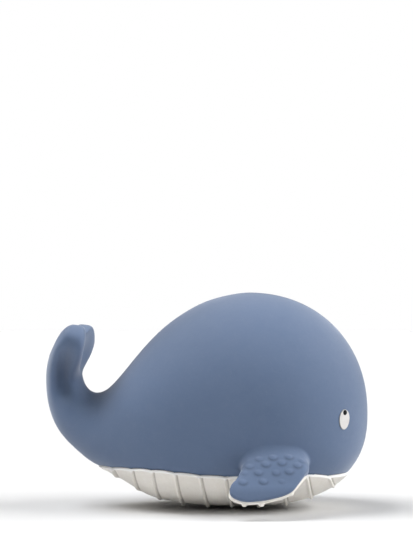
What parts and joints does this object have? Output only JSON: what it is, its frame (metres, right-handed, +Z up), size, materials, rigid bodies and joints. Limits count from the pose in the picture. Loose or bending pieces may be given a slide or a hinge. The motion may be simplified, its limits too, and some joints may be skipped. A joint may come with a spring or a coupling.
{
  "type": "whale teether",
  "caption": "Hollow rubber whale teether with a ribbed cream belly, soft bumpy flippers and a curled tail that flex, and inlaid oval eyes.",
  "frame": {"origin": "on the floor, under the middle of the whole box", "axes": "+X to the nose, +Y to the whale's left, +Z up"},
  "size_m": [0.12, 0.0888, 0.08],
  "materials": {
    "blue_rubber": "matte grey-blue natural rubber",
    "cream_rubber": "matte off-white natural rubber",
    "eye_white": "smooth white",
    "eye_black": "smooth black"
  },
  "bodies": {
    "whale_body": {"upper_skin": "blue_rubber", "belly_panel": "cream_rubber", "right_shoulder": "blue_rubber", "left_shoulder": "blue_rubber", "right_eye_white": "eye_white", "right_eye_pupil": "eye_black", "left_eye_white": "eye_white", "left_eye_pupil": "eye_black", "fill_plug": "cream_rubber"},
    "tail": {"tail_fluke": "blue_rubber"},
    "right_flipper": {"right_flipper_top": "blue_rubber", "right_flipper_underside": "cream_rubber"},
    "left_flipper": {"left_flipper_top": "blue_rubber", "left_flipper_underside": "cream_rubber"}
  },
  "joints": [
    {"name": "tail_flex", "type": "hinge", "parent": "whale_body", "child": "tail", "pos_m": [-0.0519, 0, 0.04192], "axis": [0, 1, 0], "range_deg": [-12, 12], "stiffness_Nm_per_rad": 0.15},
    {"name": "right_flipper_flex", "type": "hinge", "parent": "whale_body", "child": "right_flipper", "pos_m": [0.0229, -0.03315, 0.01708], "axis": [-0.9962, -0.0872, 0], "range_deg": [-6, 25], "stiffness_Nm_per_rad": 0.02},
    {"name": "left_flipper_flex", "type": "hinge", "parent": "whale_body", "child": "left_flipper", "pos_m": [0.0229, 0.03315, 0.01708], "axis": [0.9962, -0.0872, 0], "range_deg": [-6, 25], "stiffness_Nm_per_rad": 0.02}
  ]
}
